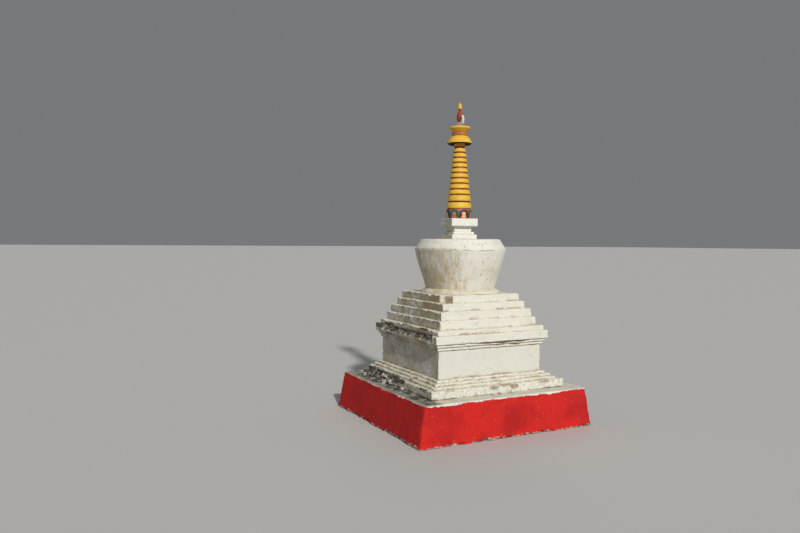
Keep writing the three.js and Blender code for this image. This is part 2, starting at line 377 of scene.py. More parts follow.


# limewash over mud plaster, with its stains, dirty ledges, joints and broken places, and painted shade on the
# side towards -X
def limewashLayers(graph, changes):
    s = {**limewashSettings, **changes}
    place = objectPlace(graph)
    normal = facing(graph)
    coarse = noiseOn(graph, place, 2.6, 5.0, 0.6)
    speckle = noiseOn(graph, place, 15.0, 8.0, 0.7)
    patches = noiseOn(graph, place, 5.0, 7.0, 0.66)
    colour = mixColours(graph, between(graph, patches, *s["dullPatches"]), s["fresh"], s["dull"])
    # rain streaks: narrow sideways, long downwards
    streaks = noiseOn(graph, objectPlace(graph, (24, 24, 2.2)), 1.0, 5.0, 0.6)
    colour = stain(graph, colour, s["streak"], between(graph, streaks, *s["streakLines"]),
                   between(graph, coarse, *s["streakPlaces"]), s["streakShare"])
    # ledges are creamier and hold a little dirt
    ledge = between(graph, normal["Z"], *s["ledgeSlope"])
    colour = stain(graph, colour, s["ledge"], ledge, s["ledgeShare"])
    ledgeDirt = between(graph, speckle, *s["ledgeDirt"])
    colour = stain(graph, colour, s["grimeAndShade"], ledge, ledgeDirt, s["ledgeDirtShare"])
    # the side towards -X is weathered and also darkened as painted shade: grey all over, tan in big patches,
    # gritty close up
    side = times(graph, between(graph, normal["X"], *s["shadedSideTurn"]),
                 between(graph, normal["Z"], *s["sideSlope"]), s["weatherAndShadeShare"])
    grit = noiseOn(graph, place, 40.0, 6.0, 0.8)
    colour = stain(graph, colour, s["grimeAndShade"], side, between(graph, speckle, *s["grimeAndShadePatches"]))
    colour = stain(graph, colour, s["tan"], side, between(graph, coarse, *s["tanPatches"]), s["tanShare"])
    colour = stain(graph, colour, s["shade"], side, between(graph, grit, *s["shadeSpecks"]), s["shadeShare"])
    colour = stain(graph, colour, s["tan"], between(graph, grit, *s["gritSpecks"]), s["gritShare"])
    # earth in the joints between courses, here and there
    seams = between(graph, noiseOn(graph, place, 6.5, 6.0, 0.7), *s["seamPlaces"])
    colour = stain(graph, colour, s["seam"], markOn(graph, "joint"), seams)
    # small dark pits in clusters, each of its own size
    cells = addNode(graph, "ShaderNodeTexVoronoi", {"Vector": place, "Scale": s["pitScale"]}).outputs[0]
    sizes = between(graph, noiseOn(graph, place, 19.0, 5.0, 0.7), 0.35, 0.65, -0.07, 0.09)
    pits = times(graph, between(graph, maths(graph, "ADD", cells, sizes), *s["pitEdge"]),
                 between(graph, noiseOn(graph, place, 7.0, 3.0), *s["pitClusters"]))
    colour = stain(graph, colour, s["pit"], pits, s["pitShare"])
    # where plaster has come off mud and rubble show, and dark earth where the break goes deep
    lumpy = between(graph, noiseOn(graph, place, 22.0, 7.0, 0.7), *s["rubbleLumps"])
    broken = markOn(graph, "broken")
    shallow = mixColours(graph, lumpy, s["mud"], s["rubble"])
    deep = mixColours(graph, lumpy, s["earth"], s["stone"])
    inside = mixColours(graph, between(graph, broken, *s["deepBreaks"]), shallow, deep)
    colour = stain(graph, colour, inside, maths(graph, "MINIMUM", times(graph, broken, s["brokenGain"]), 1.0))
    grain = noiseOn(graph, place, 70.0, 6.0, 0.7)
    brush = noiseOn(graph, objectPlace(graph, (60, 60, 14)), 1.0, 4.0)
    height = maths(graph, "ADD", grain, times(graph, brush, s["brushDepth"]))
    height = maths(graph, "SUBTRACT", height, times(graph, pits, s["pitDepth"]))
    return colour, height


def makeLimewash(name, changes):
    s = limewashSettings
    material, graph, shader = newMaterial(name, s["roughness"], s["shine"])
    colour, height = limewashLayers(graph, changes)
    linkShader(graph, shader, colour, height, s["grain"])
    return material


bowlWashSettings = {
    "wash": {"fresh": rgb(0.785, 0.77, 0.69), "streakShare": 0.15, "weatherAndShadeShare": 0.38, "pitScale": 32.0,
             "pitClusters": (0.42, 0.50)},
    "soil": rgb(0.45, 0.37, 0.235),
    "soilHeight": (1.39, 1.19),
    "soilWander": 0.24,
    "soilShare": 0.45,
    "runs": rgb(0.47, 0.38, 0.22),
    "runLines": (0.45, 0.64),
    "runAndShadeSide": (-0.05, -0.75, 0.10, 1.0),
    "runShare": 0.85,
    "shoulder": (1.548, 1.508),
    "crackHeight": 1.528,
    "crackWander": 0.096,
    "crackEdge": (0.0042, 0.0014),
    "crackStart": (-0.34, -0.28),
    "crackEnd": (0.13, 0.07),
    "crackShare": 0.85,
}


def makeBowlWash(name):
    s = {**limewashSettings, **bowlWashSettings}
    material, graph, shader = newMaterial(name, s["roughness"], s["shine"])
    place = objectPlace(graph)
    axes = axesOf(graph, place)
    colour, height = limewashLayers(graph, s["wash"])
    # splashed soil creeps up from the foot
    uneven = noiseOn(graph, place, 4.5, 6.0, 0.65)
    level = maths(graph, "ADD", axes["Z"], times(graph, uneven, s["soilWander"]))
    colour = stain(graph, colour, s["soil"], between(graph, level, *s["soilHeight"]), s["soilShare"])
    # brown runs down from the shoulder, most of them towards -X, where they also darken the bowl as painted
    # shade
    runs = noiseOn(graph, objectPlace(graph, (24, 24, 1.3)), 1.0, 6.0, 0.65)
    side = between(graph, facing(graph)["X"], *s["runAndShadeSide"])
    colour = stain(graph, colour, s["runs"], between(graph, runs, *s["runLines"]), side,
                   between(graph, axes["Z"], *s["shoulder"]), s["runShare"])
    # a hairline crack wanders across the front, just under the shoulder
    wander = maths(graph, "SUBTRACT", noiseOn(graph, place, 5.0, 6.0, 0.62), 0.5)
    line = maths(graph, "ADD", s["crackHeight"], times(graph, wander, s["crackWander"]))
    gap = maths(graph, "ABSOLUTE", maths(graph, "SUBTRACT", axes["Z"], line))
    across = times(graph, between(graph, axes["X"], *s["crackStart"]),
                   between(graph, axes["X"], *s["crackEnd"]), between(graph, axes["Y"], 0.0, -0.1))
    crack = times(graph, between(graph, gap, *s["crackEdge"]), across,
                  between(graph, noiseOn(graph, place, 11.0, 4.0), 0.36, 0.50))
    colour = stain(graph, colour, s["tan"], crack, s["crackShare"])
    height = maths(graph, "SUBTRACT", height, crack)
    linkShader(graph, shader, colour, height, s["grain"])
    return material


redWashSettings = {
    "wash": {"streakShare": 0.1, "weatherAndShadeShare": 0.2},
    "bright": rgb(0.62, 0.016, 0.012),
    "deep": rgb(0.44, 0.010, 0.009),
    "deepPatches": (0.42, 0.68),
    "shadedSideTurn": (-0.4, -0.8),
    "sideShadeShare": 0.65,
    "pit": rgb(0.14, 0.010, 0.008),
    "pitSpecks": (0.62, 0.72),
    "fleckEdge": (0.085, 0.05),
    "dirt": rgb(0.075, 0.070, 0.058),
    "dirtPlaces": (0.44, 0.54),
    "dust": rgb(0.30, 0.285, 0.24),
    "dustShare": 0.85,
    "frontTop": rgb(0.81, 0.785, 0.70),
    "frontTopShare": 0.55,
    "topSlope": (0.60, 0.85),
    "rimInside": (0.827, 0.792, 0.20, 1.0),
    "rimWander": 0.08,
    "blockEdge": (-0.61, -0.69, 0.14, 1.0),
    "washLine": (0.325, 0.329),
    "washRagged": 0.072,
    "washLift": 0.005,
    "washSlope": (0.62, 0.85),
    "footPlaster": rgb(0.42, 0.39, 0.33),
    "footLine": (0.016, 0.008),
    "footRagged": 0.14,
    "grain": 0.004,
    "roughness": 0.82,
    "shine": 0.3,
}


# red wash below, lime wash over the top and a little way down the wall
def makeRedWash(name):
    s = redWashSettings
    material, graph, shader = newMaterial(name, s["roughness"], s["shine"])
    place = objectPlace(graph)
    axes = axesOf(graph, place)
    normal = facing(graph)
    white, height = limewashLayers(graph, s["wash"])
    patches = noiseOn(graph, place, 4.0, 5.0, 0.6)
    red = mixColours(graph, between(graph, patches, *s["deepPatches"]), s["bright"], s["deep"])
    # towards -X the red is darkened as painted shade
    side = between(graph, normal["X"], *s["shadedSideTurn"])
    red = stain(graph, red, s["deep"], side, s["sideShadeShare"])
    red = stain(graph, red, s["pit"], between(graph, noiseOn(graph, place, 52.0, 4.0, 0.65), *s["pitSpecks"]))
    flecks = addNode(graph, "ShaderNodeTexVoronoi", {"Vector": place, "Scale": 26.0}).outputs[0]
    red = stain(graph, red, s["footPlaster"], between(graph, flecks, *s["fleckEdge"]))
    # the top: dirt between the block and a paler rim, thickest towards -X
    speckle = noiseOn(graph, place, 9.0, 9.0, 0.74)
    reach = maths(graph, "MAXIMUM", maths(graph, "ABSOLUTE", axes["X"]), maths(graph, "ABSOLUTE", axes["Y"]))
    reach = maths(graph, "ADD", reach, times(graph, speckle, s["rimWander"]))
    gutter = between(graph, reach, *s["rimInside"])
    strip = between(graph, axes["X"], *s["blockEdge"])
    flat = between(graph, normal["Z"], *s["topSlope"])
    white = stain(graph, white, s["frontTop"], flat, s["frontTopShare"])
    white = stain(graph, white, s["dust"], flat, strip, s["dustShare"])
    white = stain(graph, white, s["dirt"], flat, gutter, between(graph, speckle, *s["dirtPlaces"]), strip)
    # the two washes meet in a ragged line, a little higher on the side towards -X
    ragged = maths(graph, "SUBTRACT", noiseOn(graph, place, 14.0, 8.0, 0.7), 0.5)
    edge = maths(graph, "ADD", axes["Z"], times(graph, ragged, s["washRagged"]))
    edge = maths(graph, "SUBTRACT", edge, times(graph, side, s["washLift"]))
    washed = maths(graph, "MAXIMUM", between(graph, edge, *s["washLine"]),
                   between(graph, normal["Z"], *s["washSlope"]))
    foot = maths(graph, "ADD", axes["Z"], times(graph, ragged, s["footRagged"]))
    colour = stain(graph, red, s["footPlaster"], between(graph, foot, *s["footLine"]))
    colour = stain(graph, colour, white, washed)
    linkShader(graph, shader, colour, height, s["grain"])
    return material


paintSettings = {
    "wornPatches": (0.40, 0.72),
    "wornStreaks": (0.55, 0.80),
    "streakShare": 0.4,
    "specks": (0.70, 0.77),
    "underShadeSlope": (-0.35, -0.70),
    "darkSpecksAndShade": (0.018, 0.009, 0.006),
    "grain": 0.0015,
    "roughness": 0.5,
    "shine": 0.4,
}


# gloss paint on plaster: dulled in patches and worn in specks; the specks' colour is also painted as shade on
# what faces down, and the range of heights given last is painted near-black as shade
def makePaint(name, colour, worn, specksAndUnderShade, specks=paintSettings["specks"], shadedHeights=None):
    s = paintSettings
    material, graph, shader = newMaterial(name, s["roughness"], s["shine"])
    place = objectPlace(graph)
    patches = between(graph, noiseOn(graph, place, 16.0, 5.0, 0.6), *s["wornPatches"])
    shade = mixColours(graph, patches, rgb(*colour), rgb(*worn))
    streaks = noiseOn(graph, objectPlace(graph, (90, 90, 12)), 1.0, 4.0)
    shade = stain(graph, shade, rgb(*worn), between(graph, streaks, *s["wornStreaks"]), s["streakShare"])
    shade = stain(graph, shade, rgb(*specksAndUnderShade), between(graph, noiseOn(graph, place, 95.0, 5.0, 0.7), *specks))
    # painted shade on what faces down
    shade = stain(graph, shade, rgb(*specksAndUnderShade), between(graph, facing(graph)["Z"], *s["underShadeSlope"]))
    # painted shade, near-black, over the given range of heights
    if shadedHeights:
        low, high = shadedHeights
        z = axesOf(graph, place)["Z"]
        shade = stain(graph, shade, rgb(*s["darkSpecksAndShade"]), between(graph, z, low - 0.002, low + 0.002),
                      between(graph, z, high + 0.001, high - 0.001))
    linkShader(graph, shader, shade, noiseOn(graph, place, 120.0, 4.0), s["grain"])
    return material


limewash = makeLimewash("limewash", {})
lowWash = makeLimewash("lowWash", {"streakShare": 0.30, "weatherAndShadeShare": 0.30, "gritShare": 0.60})
throneWash = makeLimewash("throneWash", {"fresh": rgb(0.70, 0.695, 0.638), "streakShare": 0.35,
                                         "weatherAndShadeShare": 0.58})
neckWash = makeLimewash("neckWash", {"fresh": rgb(0.80, 0.795, 0.745), "streakShare": 0.05,
                                     "weatherAndShadeShare": 0.35})
bowlWash = makeBowlWash("bowlWash")
redWash = makeRedWash("redWash")
# the fallen chips' limewash is painted darker grey as shade
chipShadedWash = makeLimewash("chipShadedWash", {"fresh": rgb(0.43, 0.42, 0.39), "streakShare": 0.2, "weatherAndShadeShare": 0.5,
                                     "gritShare": 0.4})

# each paint: its colour, the same colour worn, and the colour of its worn specks, which is also painted as
# shade on what faces down
yellow = (0.81, 0.51, 0.054)
wornYellow = (0.73, 0.40, 0.033)
bellFoot, bellTop = (corner.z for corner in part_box("umbrella_bell"))
# the downward faces of the rings and tip are painted dark red-brown as shade
yellowPaint = makePaint("yellowPaint", yellow, wornYellow, (0.085, 0.026, 0.010))
# the cup's downward-facing flare is painted darker orange as shade
cupPaint = makePaint("cupPaint", yellow, wornYellow, (0.66, 0.33, 0.012))
# the bell's underside, hollow and rim band are painted near-black as shade
bellPaint = makePaint("bellPaint", yellow, wornYellow, paintSettings["darkSpecksAndShade"],
                      shadedHeights=(bellFoot - 0.01, bellFoot + 0.01))
groovePaint = makePaint("groovePaint", (0.50, 0.110, 0.028), (0.32, 0.066, 0.020), (0.05, 0.018, 0.010))
collarPaint = makePaint("collarPaint", (0.60, 0.20, 0.070), (0.48, 0.13, 0.05), (0.12, 0.04, 0.02))
# the collar is painted brighter orange to stand in for light that the bell's shade keeps off it, and its top
# inside the bell is painted near-black as shade
spireCollarLitAndShadedPaint = makePaint("spireCollarLitAndShadedPaint", (0.85, 0.33, 0.110), (0.72, 0.24, 0.08), (0.12, 0.04, 0.02),
                             shadedHeights=(bellFoot + 0.006, bellTop))
salmonPaint = makePaint("salmonPaint", (0.46, 0.11, 0.07), (0.36, 0.08, 0.05), (0.12, 0.04, 0.02))
sunPaint = makePaint("sunPaint", (0.34, 0.062, 0.020), (0.26, 0.042, 0.014), (0.08, 0.02, 0.012))
greenPaint = makePaint("greenPaint", (0.010, 0.14, 0.06), (0.008, 0.10, 0.045), (0.02, 0.05, 0.03))
navyPaint = makePaint("navyPaint", (0.026, 0.024, 0.062), (0.020, 0.018, 0.042), (0.02, 0.02, 0.03))
pinkPaint = makePaint("pinkPaint", (0.62, 0.17, 0.12), (0.50, 0.12, 0.08), (0.2, 0.06, 0.04))
peachPaint = makePaint("peachPaint", (0.82, 0.44, 0.19), (0.70, 0.33, 0.13), (0.2, 0.08, 0.04))
whitePaint = makePaint("whitePaint", (0.72, 0.722, 0.73), (0.56, 0.555, 0.55), (0.36, 0.34, 0.31),
                       specks=(0.76, 0.83))
print("materials ready")


# Square courses: closed rings of plastered masonry, and solid blocks at the neck

def hollowOut(piece, wall):
    pickFaces(piece, lambda face: abs(face.normal.z) > 0.9)
    bpy.ops.mesh.inset(thickness=wall)
    bpy.ops.mesh.delete(type="FACE")
    bpy.ops.mesh.select_mode(type="EDGE")
    bpy.ops.mesh.select_all(action="DESELECT")
    bpy.ops.mesh.select_non_manifold()
    bpy.ops.mesh.bridge_edge_loops()
    bpy.ops.mesh.select_all(action="SELECT")
    bpy.ops.mesh.normals_make_consistent(inside=False)
    leaveEdit()


def sideDepth(co, low, high):
    return min(high.x - co.x, co.x - low.x, high.y - co.y, co.y - low.y)


# distance to the nearest edge that shows: corners, the top unless it rises into the next course,
# and the foot unless it sinks into the last one
def edgeDistance(co, low, high, s):
    side = sideDepth(co, low, high)
    nearest = math.hypot(min(high.x - co.x, co.x - low.x), min(high.y - co.y, co.y - low.y))
    if not s["rise"]:
        nearest = min(nearest, math.hypot(side, high.z - co.z))
    if not s["sink"]:
        nearest = min(nearest, math.hypot(side, co.z - low.z))
    return nearest


# 1 on the surface that a cut has left, 0 a few millimetres away from it
def cutNearness(co, cuts):
    nearest = 0.0
    for centre, size, ragged in cuts:
        offset = co - Vector(centre)
        reach = math.hypot(offset.x / size[0], offset.y / size[1], offset.z / size[2])
        if reach < cutSettings["middle"]:
            return 1.0
        beyond = offset.length * (1 - 1 / reach)
        nearest = max(nearest, 1.0 - (beyond - ragged * cutSettings["markShare"]) / cutSettings["markFade"])
    return nearest


exposedCorner = 0.97  # under 1, so that the weathered side takes in both its corners


# the side towards -X has suffered most
def exposure(co):
    return 1.0 if -co.x > abs(co.y) * exposedCorner else 0.0


courseSettings = {
    "wall": 0.08,
    "turn": 0.0,
    "margin": 0.002,
    "sink": 0.006,
    "rise": 0.0,
    "rounding": 0.005,
    "voxel": 0.0068,
    "waves": 0.006,
    "lumps": 0.0018,
    "biteReach": 0.018,
    "biteDepth": 0.014,
    "biteShare": 0.55,
    "weatherDepth": 0.012,
    "ledgeFall": 0.003,
    "ledgeReach": 0.02,
    "ledgeWear": 0.0,
    "jointHeight": 0.010,
    "jointDepth": 1.3,
    "brokenFrom": 0.010,
    "brokenFull": 0.018,
    "brokenShare": 1.0,
    "shelteredShare": 0.5,
    "share": 0.42,
}


def buildCourse(node, material, changes):
    s = {**courseSettings, **changes}
    cuts = courseCuts.get(node, ())
    boxLow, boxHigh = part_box(node)
    middle = (boxLow + boxHigh) / 2
    turn = math.radians(s["turn"])
    # a turned square fills a wider box than its own sides
    shrink = 1 / (math.cos(turn) + math.sin(abs(turn)))
    half = Vector(((boxHigh.x - middle.x) * shrink, (boxHigh.y - middle.y) * shrink, 0))
    base = Vector((0, 0, 0)) if s["turn"] else Vector((middle.x, middle.y, 0))
    low = base - half + Vector((0, 0, boxLow.z))
    high = base + half + Vector((0, 0, boxHigh.z))
    sunk = Vector((0, 0, -s["sink"]))
    risen = Vector((0, 0, s["rise"]))
    margin = Vector((s["margin"], s["margin"], 0))
    piece = addCube(node + "_plaster", low + margin + sunk, high - margin + risen)
    if s["wall"]:
        hollowOut(piece, s["wall"])
    # the outer top edge has washed down a little
    pickPoints(piece, lambda co: co.z > high.z - near and sideDepth(co, low, high) < s["ledgeReach"])
    bpy.ops.transform.translate(value=(0, 0, -s["ledgeFall"]))
    leaveEdit()
    # and towards -X it is worn round
    if s["ledgeWear"]:
        edgeZ = high.z - s["ledgeFall"] - near
        edgeX = low.x + s["margin"] + near
        pickPoints(piece, lambda co: co.z > edgeZ and co.x < edgeX)
        bpy.ops.mesh.bevel(offset=s["ledgeWear"], segments=3)
        leaveEdit()
    bevelEdges(piece, s["rounding"])
    for cut in cuts:
        cutAway(piece, *cut)
    remesh(piece, s["voxel"])
    displace(piece, plasterWaves, s["waves"])
    displace(piece, plasterLumps, s["lumps"])
    reach = s["biteReach"]
    weighPoints(piece, "edges", lambda co: (1.0 - edgeDistance(co, low, high, s) / reach)
                * max(exposure(co), s["biteShare"]))
    displace(piece, edgeBites, -s["biteDepth"], 0.0, "edges")
    weighPoints(piece, "weather", lambda co: (1.0 - edgeDistance(co, low, high, s) / reach) * exposure(co))
    displace(piece, weatherBites, -s["weatherDepth"], 0.0, "weather")
    thinMesh(piece, s["share"])
    span = s["brokenFull"] - s["brokenFrom"]

    def brokenness(co):
        depth = min(sideDepth(co, low, high), high.z + s["rise"] - co.z, co.z - low.z + s["sink"])
        worn = (depth - s["brokenFrom"]) / span
        bare = min(max(worn, cutNearness(co, cuts), 0.0), 1.0)
        return bare * s["brokenShare"] * max(exposure(co), s["shelteredShare"])

    storeMark(piece, "broken", brokenness)
    storeMark(piece, "joint", lambda co: s["jointDepth"] - (co.z - low.z) / s["jointHeight"])
    if s["turn"]:
        piece.rotation_euler.z = turn
        piece.location = (middle.x, middle.y, 0)
        applyPlace(piece)
    keepInside(piece, boxLow + sunk, boxHigh + risen)
    finishPiece(piece, material, [node])


# each cut is a centre, its half sizes and how ragged it is
courseCuts = {
    "base_block": [
        ((-0.705, 0.08, 0.425), (0.085, 0.240, 0.078), 0.02),
        ((-0.705, 0.38, 0.430), (0.100, 0.300, 0.085), 0.02),
        ((-0.700, 0.64, 0.425), (0.100, 0.160, 0.078), 0.02),
        ((-0.700, -0.13, 0.415), (0.052, 0.075, 0.045), 0.02),
        ((-0.690, -0.52, 0.420), (0.036, 0.120, 0.022), 0.02),
        ((-0.07, -0.702, 0.392), (0.060, 0.038, 0.022), 0.024),
        ((0.04, -0.700, 0.408), (0.080, 0.036, 0.016), 0.024),
        ((0.14, -0.703, 0.388), (0.060, 0.038, 0.024), 0.024),
        ((-0.49, -0.696, 0.404), (0.050, 0.030, 0.013), 0.02),
        ((0.46, -0.702, 0.400), (0.070, 0.036, 0.016), 0.024),
    ],
    "base_step_1": [
        ((-0.635, -0.22, 0.430), (0.026, 0.045, 0.016), 0.01),
        ((-0.640, 0.05, 0.432), (0.030, 0.090, 0.016), 0.01),
        ((-0.640, 0.42, 0.430), (0.032, 0.150, 0.018), 0.01),
        ((0.02, -0.632, 0.431), (0.050, 0.016, 0.012), 0.01),
    ],
    "base_step_2": [
        ((-0.598, -0.25, 0.449), (0.024, 0.040, 0.014), 0.01),
        ((-0.600, 0.28, 0.450), (0.020, 0.060, 0.012), 0.01),
        ((-0.598, -0.46, 0.449), (0.016, 0.040, 0.010), 0.01),
    ],
    "cornice_slab": [
        ((-0.612, -0.40, 0.822), (0.074, 0.110, 0.030), 0.026),
        ((-0.604, -0.26, 0.816), (0.074, 0.110, 0.028), 0.026),
        ((-0.612, -0.10, 0.822), (0.078, 0.130, 0.031), 0.026),
        ((-0.604, 0.06, 0.817), (0.070, 0.120, 0.028), 0.026),
        ((-0.610, 0.22, 0.821), (0.076, 0.130, 0.031), 0.026),
        ((-0.606, 0.38, 0.817), (0.074, 0.120, 0.030), 0.026),
        ((-0.604, 0.50, 0.820), (0.060, 0.090, 0.032), 0.026),
        ((-0.592, -0.487, 0.795), (0.026, 0.012, 0.060), 0.01),
        ((-0.586, -0.34, 0.758), (0.022, 0.050, 0.008), 0.014),
        ((-0.586, 0.30, 0.758), (0.026, 0.080, 0.009), 0.014),
    ],
    "cornice_moulding_upper": [
        ((-0.06, -0.563, 0.755), (0.100, 0.026, 0.012), 0.014),
        ((0.10, -0.565, 0.752), (0.120, 0.030, 0.014), 0.014),
        ((0.28, -0.563, 0.755), (0.100, 0.026, 0.012), 0.014),
    ],
    "cornice_moulding_lower": [
        ((0.05, -0.546, 0.729), (0.090, 0.016, 0.009), 0.010),
        ((0.24, -0.546, 0.727), (0.070, 0.017, 0.010), 0.010),
    ],
    "cornice_lip": [
        ((-0.556, -0.30, 0.872), (0.024, 0.080, 0.013), 0.015),
        ((-0.556, 0.02, 0.874), (0.026, 0.110, 0.013), 0.015),
        ((-0.556, 0.36, 0.834), (0.030, 0.120, 0.014), 0.015),
    ],
    "terrace_step_1": [
        ((-0.505, 0.28, 0.948), (0.020, 0.060, 0.016), 0.01),
    ],
    "terrace_step_2": [((-0.474, -0.10, 1.018), (0.018, 0.050, 0.014), 0.01)],
    "terrace_step_4": [
        ((-0.405, -0.405, 1.120), (0.098, 0.104, 0.200), 0.012),
    ],
}

lowStepChanges = {
    "rounding": 0.006,
    "lumps": 0.010,
    "biteReach": 0.014,
    "biteDepth": 0.012,
    "weatherDepth": 0.009,
    "ledgeWear": 0.009,
    "jointHeight": 0.006,
    "brokenFrom": 0.0075,
    "brokenFull": 0.0095,
    "brokenShare": 0.5,
}
for course in ["base_step_1", "base_step_2", "base_step_3"]:
    buildCourse(course, lowWash, lowStepChanges)

terraceChanges = {
    "waves": 0.008,
    "lumps": 0.004,
    "ledgeWear": 0.014,
    "jointHeight": 0.014,
    "brokenShare": 0.6,
}
for course in ["terrace_step_1", "terrace_step_2", "terrace_step_3"]:
    buildCourse(course, limewash, terraceChanges)
buildCourse("base_block", lowWash, {"wall": 0.14, "rounding": 0.008, "lumps": 0.013, "biteShare": 0.8})
buildCourse("terrace_step_4", limewash, {**terraceChanges, "wall": 0.14, "brokenShare": 0.15})
buildCourse("throne_body", throneWash, {"voxel": 0.010, "waves": 0.007, "rise": 0.004, "ledgeFall": 0.0,
                                        "jointHeight": 0.012})

# mouldings and slab overhang what carries them, so their lower edges show
mouldingChanges = {
    "sink": 0.0,
    "rise": 0.004,
    "rounding": 0.004,
    "waves": 0.004,
    "biteReach": 0.012,
    "biteDepth": 0.009,
    "weatherDepth": 0.006,
    "ledgeFall": 0.0,
    "jointHeight": 0.005,
}
for course in ["cornice_moulding_lower", "cornice_moulding_upper"]:
    buildCourse(course, limewash, mouldingChanges)
buildCourse("cornice_slab", limewash, {"wall": 0.14, "sink": 0.0, "jointHeight": 0.004, "brokenFrom": 0.014,
                                       "brokenFull": 0.022})
buildCourse("cornice_lip", limewash, {"jointHeight": 0.016, "ledgeWear": 0.012})

neckChanges = {
    "wall": 0.0,
    "turn": -7.0,
    "sink": 0.003,
    "rounding": 0.003,
    "voxel": 0.0048,
    "waves": 0.003,
    "lumps": 0.0012,
    "biteReach": 0.010,
    "biteDepth": 0.006,
    "weatherDepth": 0.002,
    "ledgeFall": 0.001,
    "jointHeight": 0.003,
}
for course in ["neck_step_1", "neck_step_2"]:
    buildCourse(course, neckWash, neckChanges)
buildCourse("neck_step_3", neckWash, {**neckChanges, "rise": 0.003, "ledgeFall": 0.0})
buildCourse("neck_band", neckWash, {**neckChanges, "sink": 0.0, "rise": 0.003, "rounding": 0.002,
                                    "voxel": 0.003, "ledgeFall": 0.0})
buildCourse("neck_plate", neckWash, {**neckChanges, "sink": 0.0})


# Plinth: red wall and white top are one skin of plaster

plinthSettings = {
    "splay": (0.055, 0.020),
    "cornerRounding": 0.030,
    "rimRounding": 0.014,
    "voxel": 0.0105,
    "waves": 0.016,
    "wavesMid": 0.75,
    "lumps": 0.009,
    "lumpsMid": 0.7,
    "rimDepth": 0.024,
    "rimReach": 0.035,
    "footDepth": 0.026,
    "footReach": 0.030,
    "footFrom": 0.75,
    "share": 0.40,
}


def buildPlinth():
    s = plinthSettings
    low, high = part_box("plinth_wall")
    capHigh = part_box("plinth_cap")[1]
    splayX, splayY = s["splay"]
    top = Vector((high.x - splayX, high.y - splayY, capHigh.z))
    piece = addCube("plinth_plaster", Vector((-top.x, -top.y, 0)), top)
    pickPoints(piece, lambda co: co.z < near)
    bpy.ops.transform.resize(value=(high.x / top.x, high.y / top.y, 1), center_override=(0, 0, 0))
    leaveEdit()

    def upright(edge):
        first, second = (piece.data.vertices[index].co.z for index in edge.vertices)
        return abs(first - second) > top.z / 2

    pickEdges(piece, upright)
    bpy.ops.mesh.bevel(offset=s["cornerRounding"], segments=4)
    leaveEdit()
    bevelEdges(piece, s["rimRounding"], 3)
    remesh(piece, s["voxel"])
    displace(piece, plasterWaves, s["waves"], s["wavesMid"])
    displace(piece, plasterLumps, s["lumps"], s["lumpsMid"])
    weighPoints(piece, "rim",
                lambda co: 1.0 - math.hypot(sideDepth(co, -top, top), top.z - co.z) / s["rimReach"])
    displace(piece, rimBites, -s["rimDepth"], 0.0, "rim")
    weighPoints(piece, "foot",
                lambda co: (1.0 - co.z / s["footReach"]) * (max(abs(co.x), abs(co.y)) > s["footFrom"]))
    displace(piece, weatherBites, -s["footDepth"], 0.0, "foot")
    thinMesh(piece, s["share"])
    keepInside(piece, low, Vector((high.x, high.y, capHigh.z)))
    finishPiece(piece, redWash, ["plinth_wall", "plinth_cap"])


buildPlinth()


# Plaster that has come off and lies on the plinth

# each chip is a place, its half sizes, a tilt and a turn
chipSettings = {
    "places": [
        ((-0.640, 0.218, 0.378), (0.034, 0.044, 0.011), 0.45, 0.3),
        ((-0.712, 0.116, 0.352), (0.016, 0.016, 0.018), 0.20, 0.7),
        ((-0.680, 0.062, 0.352), (0.016, 0.018, 0.018), 0.30, 2.2),
        ((-0.690, -0.200, 0.350), (0.013, 0.018, 0.012), 0.20, 1.1),
        ((-0.610, -0.225, 0.434), (0.008, 0.010, 0.014), 0.10, 0.2),
        ((-0.700, 0.560, 0.346), (0.018, 0.014, 0.010), 0.10, 1.9),
        ((-0.735, 0.330, 0.343), (0.012, 0.010, 0.008), 0.00, 0.5),
        ((-0.10, -0.700, 0.343), (0.016, 0.010, 0.008), 0.00, 0.6),
        ((-0.03, -0.706, 0.344), (0.020, 0.012, 0.010), 0.00, 1.7),
        ((0.09, -0.700, 0.342), (0.014, 0.010, 0.008), 0.00, 2.4),
    ],
    "corners": 6,
    "lean": 0.1,
    "ragged": 1.4,
    "rounding": 0.0015,
    "low": Vector((-0.8, -0.8, 0.330)),
    "high": Vector((0.8, 0.8, 0.46)),
}


def buildChips():
    s = chipSettings
    parts = []
    for centre, size, tilt, turn in s["places"]:
        clearSelection()
        bpy.ops.mesh.primitive_cylinder_add(vertices=s["corners"], radius=1, depth=2, location=centre,
                                            rotation=(s["lean"], tilt, turn))
        chip = bpy.context.active_object
        chip.scale = size
        applyPlace(chip)
        pickFaces(chip, lambda face: len(face.vertices) > 4)
        bpy.ops.mesh.poke()
        bpy.ops.mesh.select_all(action="SELECT")
        bpy.ops.mesh.subdivide(number_cuts=3)
        leaveEdit()
        displace(chip, rubble, min(size) * s["ragged"])
        bevelEdges(chip, s["rounding"], 1)
        parts.append(chip)
    chips = joinPieces("fallen_plaster", parts)
    keepInside(chips, s["low"], s["high"])
    paintPiece(chips, chipShadedWash)


buildChips()


# Turned pieces: a profile drawn point by point and spun round the upright axis

